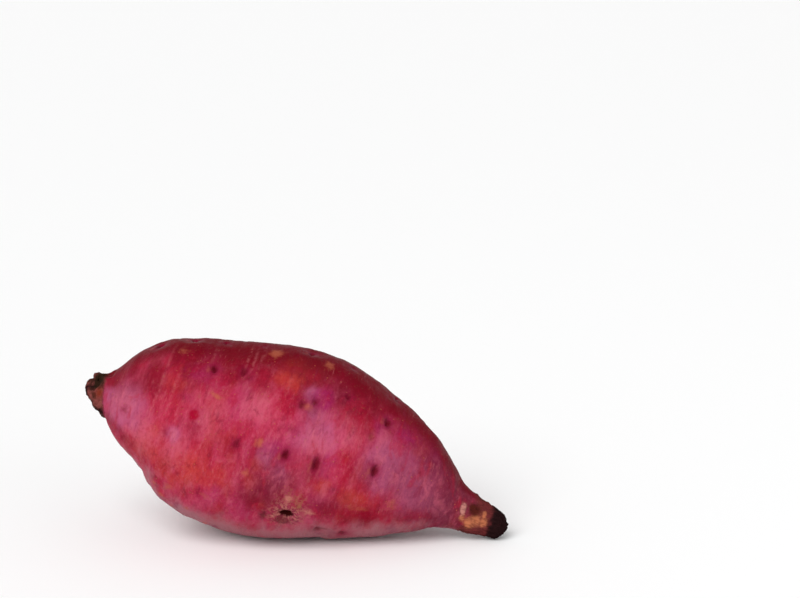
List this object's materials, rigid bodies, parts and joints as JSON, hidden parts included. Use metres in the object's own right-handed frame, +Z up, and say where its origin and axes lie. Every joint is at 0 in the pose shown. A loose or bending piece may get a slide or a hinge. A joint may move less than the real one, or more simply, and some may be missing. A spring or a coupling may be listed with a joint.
{
  "type": "sweet potato",
  "caption": "Whole sweet potato lying on its side: a thick spindle-shaped root with purple-red skin, a corky crown and a thin broken tail.",
  "frame": {"origin": "on the surface that the root rests on, in the middle of its length and width", "axes": "+X along the root, from the crown at -X to the tail at +X; +Z up"},
  "size_m": [0.1534, 0.0748, 0.0716],
  "materials": {
    "skin": "satin"
  },
  "bodies": {
    "root": {"sweet_potato": "skin"}
  },
  "joints": []
}
